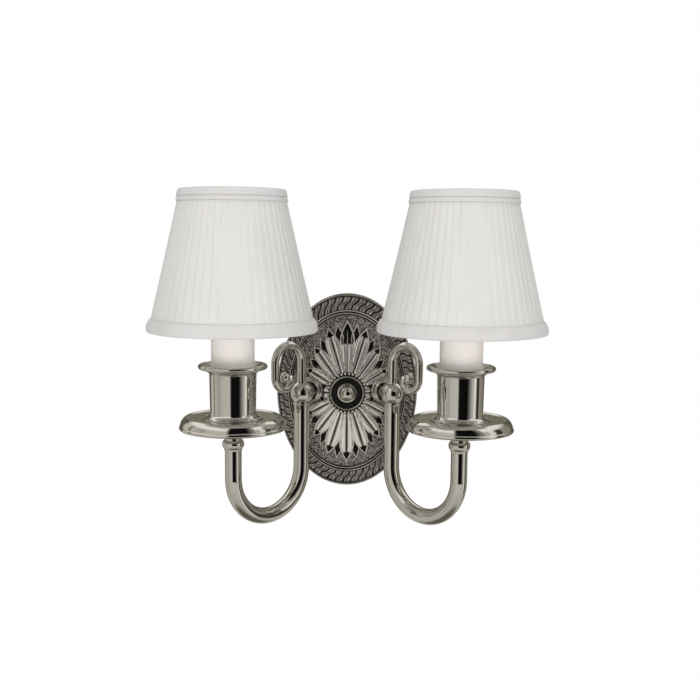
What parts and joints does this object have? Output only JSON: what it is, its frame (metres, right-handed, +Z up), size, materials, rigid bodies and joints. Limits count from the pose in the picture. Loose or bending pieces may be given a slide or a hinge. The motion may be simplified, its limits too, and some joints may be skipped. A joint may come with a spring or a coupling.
{
  "type": "double arm wall sconce",
  "caption": "Oval cast wall sconce with bent tube arms, drip pans, candle sleeves, globe bulbs and pleated clip-on shades.",
  "frame": {"origin": "middle of the backplate on the wall plane, midway between the crossbar's box screws", "axes": "+X to the right as seen from the room, +Y into the wall, +Z up"},
  "size_m": [0.2938, 0.1403, 0.2533],
  "materials": {
    "polished_nickel": "polished nickel plate on brass",
    "antique_silver": "antiqued silver plate, dark in its hollows",
    "black_enamel": "gloss black enamel",
    "zinc_steel": "zinc plated",
    "green_screw": "green dyed zinc",
    "socket_plastic": "black phenolic",
    "socket_brass": "bright",
    "sleeve_white": "soft satin white",
    "bulb_glass": "frosted white inside",
    "bulb_metal": "plain screw cap",
    "clip_wire": "brass plated wire and sheet",
    "frame_wire": "pale coated wire",
    "shade_fabric": "fine pleated cloth",
    "shade_lining": "smooth white lining",
    "shade_trim": "folded bias tape"
  },
  "bodies": {
    "root": {"backplate": "antique_silver", "rosette": "antique_silver", "centre_ring": "polished_nickel", "centre_cup": "black_enamel", "centre_nipple": "zinc_steel", "crossbar": "zinc_steel", "crossbar_nut": "zinc_steel", "ground_screw": "green_screw", "arm_lock_nuts": "zinc_steel", "left_arm_tube": "polished_nickel", "right_arm_tube": "polished_nickel", "left_arm_ball": "polished_nickel", "right_arm_ball": "polished_nickel", "left_arm_collar": "polished_nickel", "right_arm_collar": "polished_nickel", "left_arm_nipple": "zinc_steel", "right_arm_nipple": "zinc_steel", "left_arm_scroll": "polished_nickel", "right_arm_scroll": "polished_nickel", "left_neck_bead": "polished_nickel", "right_neck_bead": "polished_nickel", "left_drip_pan": "polished_nickel", "right_drip_pan": "polished_nickel", "left_candle_cup": "polished_nickel", "right_candle_cup": "polished_nickel", "left_cup_nipple": "zinc_steel", "right_cup_nipple": "zinc_steel", "left_socket_bracket": "zinc_steel", "right_socket_bracket": "zinc_steel", "left_socket_body": "socket_plastic", "right_socket_body": "socket_plastic", "left_socket_shell": "socket_brass", "right_socket_shell": "socket_brass", "left_socket_contact": "socket_brass", "right_socket_contact": "socket_brass", "left_candle_sleeve": "sleeve_white", "right_candle_sleeve": "sleeve_white"},
    "knob": {"centre_knob": "polished_nickel"},
    "left_bulb": {"left_bulb_glass": "bulb_glass", "left_bulb_base": "bulb_metal"},
    "left_clip": {"left_shade_clip": "clip_wire", "left_clip_pin": "clip_wire"},
    "left_shade": {"left_shade_frame": "frame_wire", "left_shade_spider": "frame_wire", "left_shade_cover": "shade_fabric", "left_shade_liner": "shade_lining", "left_shade_top_trim": "shade_trim", "left_shade_bottom_trim": "shade_trim"},
    "right_bulb": {"right_bulb_glass": "bulb_glass", "right_bulb_base": "bulb_metal"},
    "right_clip": {"right_shade_clip": "clip_wire", "right_clip_pin": "clip_wire"},
    "right_shade": {"right_shade_frame": "frame_wire", "right_shade_spider": "frame_wire", "right_shade_cover": "shade_fabric", "right_shade_liner": "shade_lining", "right_shade_top_trim": "shade_trim", "right_shade_bottom_trim": "shade_trim"}
  },
  "joints": [
    {"name": "knob_turn", "type": "hinge", "parent": "root", "child": "knob", "pos_m": [0, -0.0188, 0], "axis": [0, -1, 0], "range_deg": [0, 1440]},
    {"name": "left_bulb_turn", "type": "hinge", "parent": "root", "child": "left_bulb", "pos_m": [-0.08382, -0.07722, 0.0546], "axis": [0, 0, 1], "range_deg": [0, 1080]},
    {"name": "left_shade_lift", "type": "slide", "parent": "left_bulb", "child": "left_clip", "axis": [0, 0, 1], "range_m": [0, 0.09]},
    {"name": "left_shade_tilt", "type": "hinge", "parent": "left_clip", "child": "left_shade", "pos_m": [-0.08382, -0.07722, 0.1427], "axis": [1, 0, 0], "range_deg": [-6, 6]},
    {"name": "right_bulb_turn", "type": "hinge", "parent": "root", "child": "right_bulb", "pos_m": [0.08382, -0.07722, 0.0546], "axis": [0, 0, 1], "range_deg": [0, 1080]},
    {"name": "right_shade_lift", "type": "slide", "parent": "right_bulb", "child": "right_clip", "axis": [0, 0, 1], "range_m": [0, 0.09]},
    {"name": "right_shade_tilt", "type": "hinge", "parent": "right_clip", "child": "right_shade", "pos_m": [0.08382, -0.07722, 0.1427], "axis": [1, 0, 0], "range_deg": [-6, 6]}
  ]
}
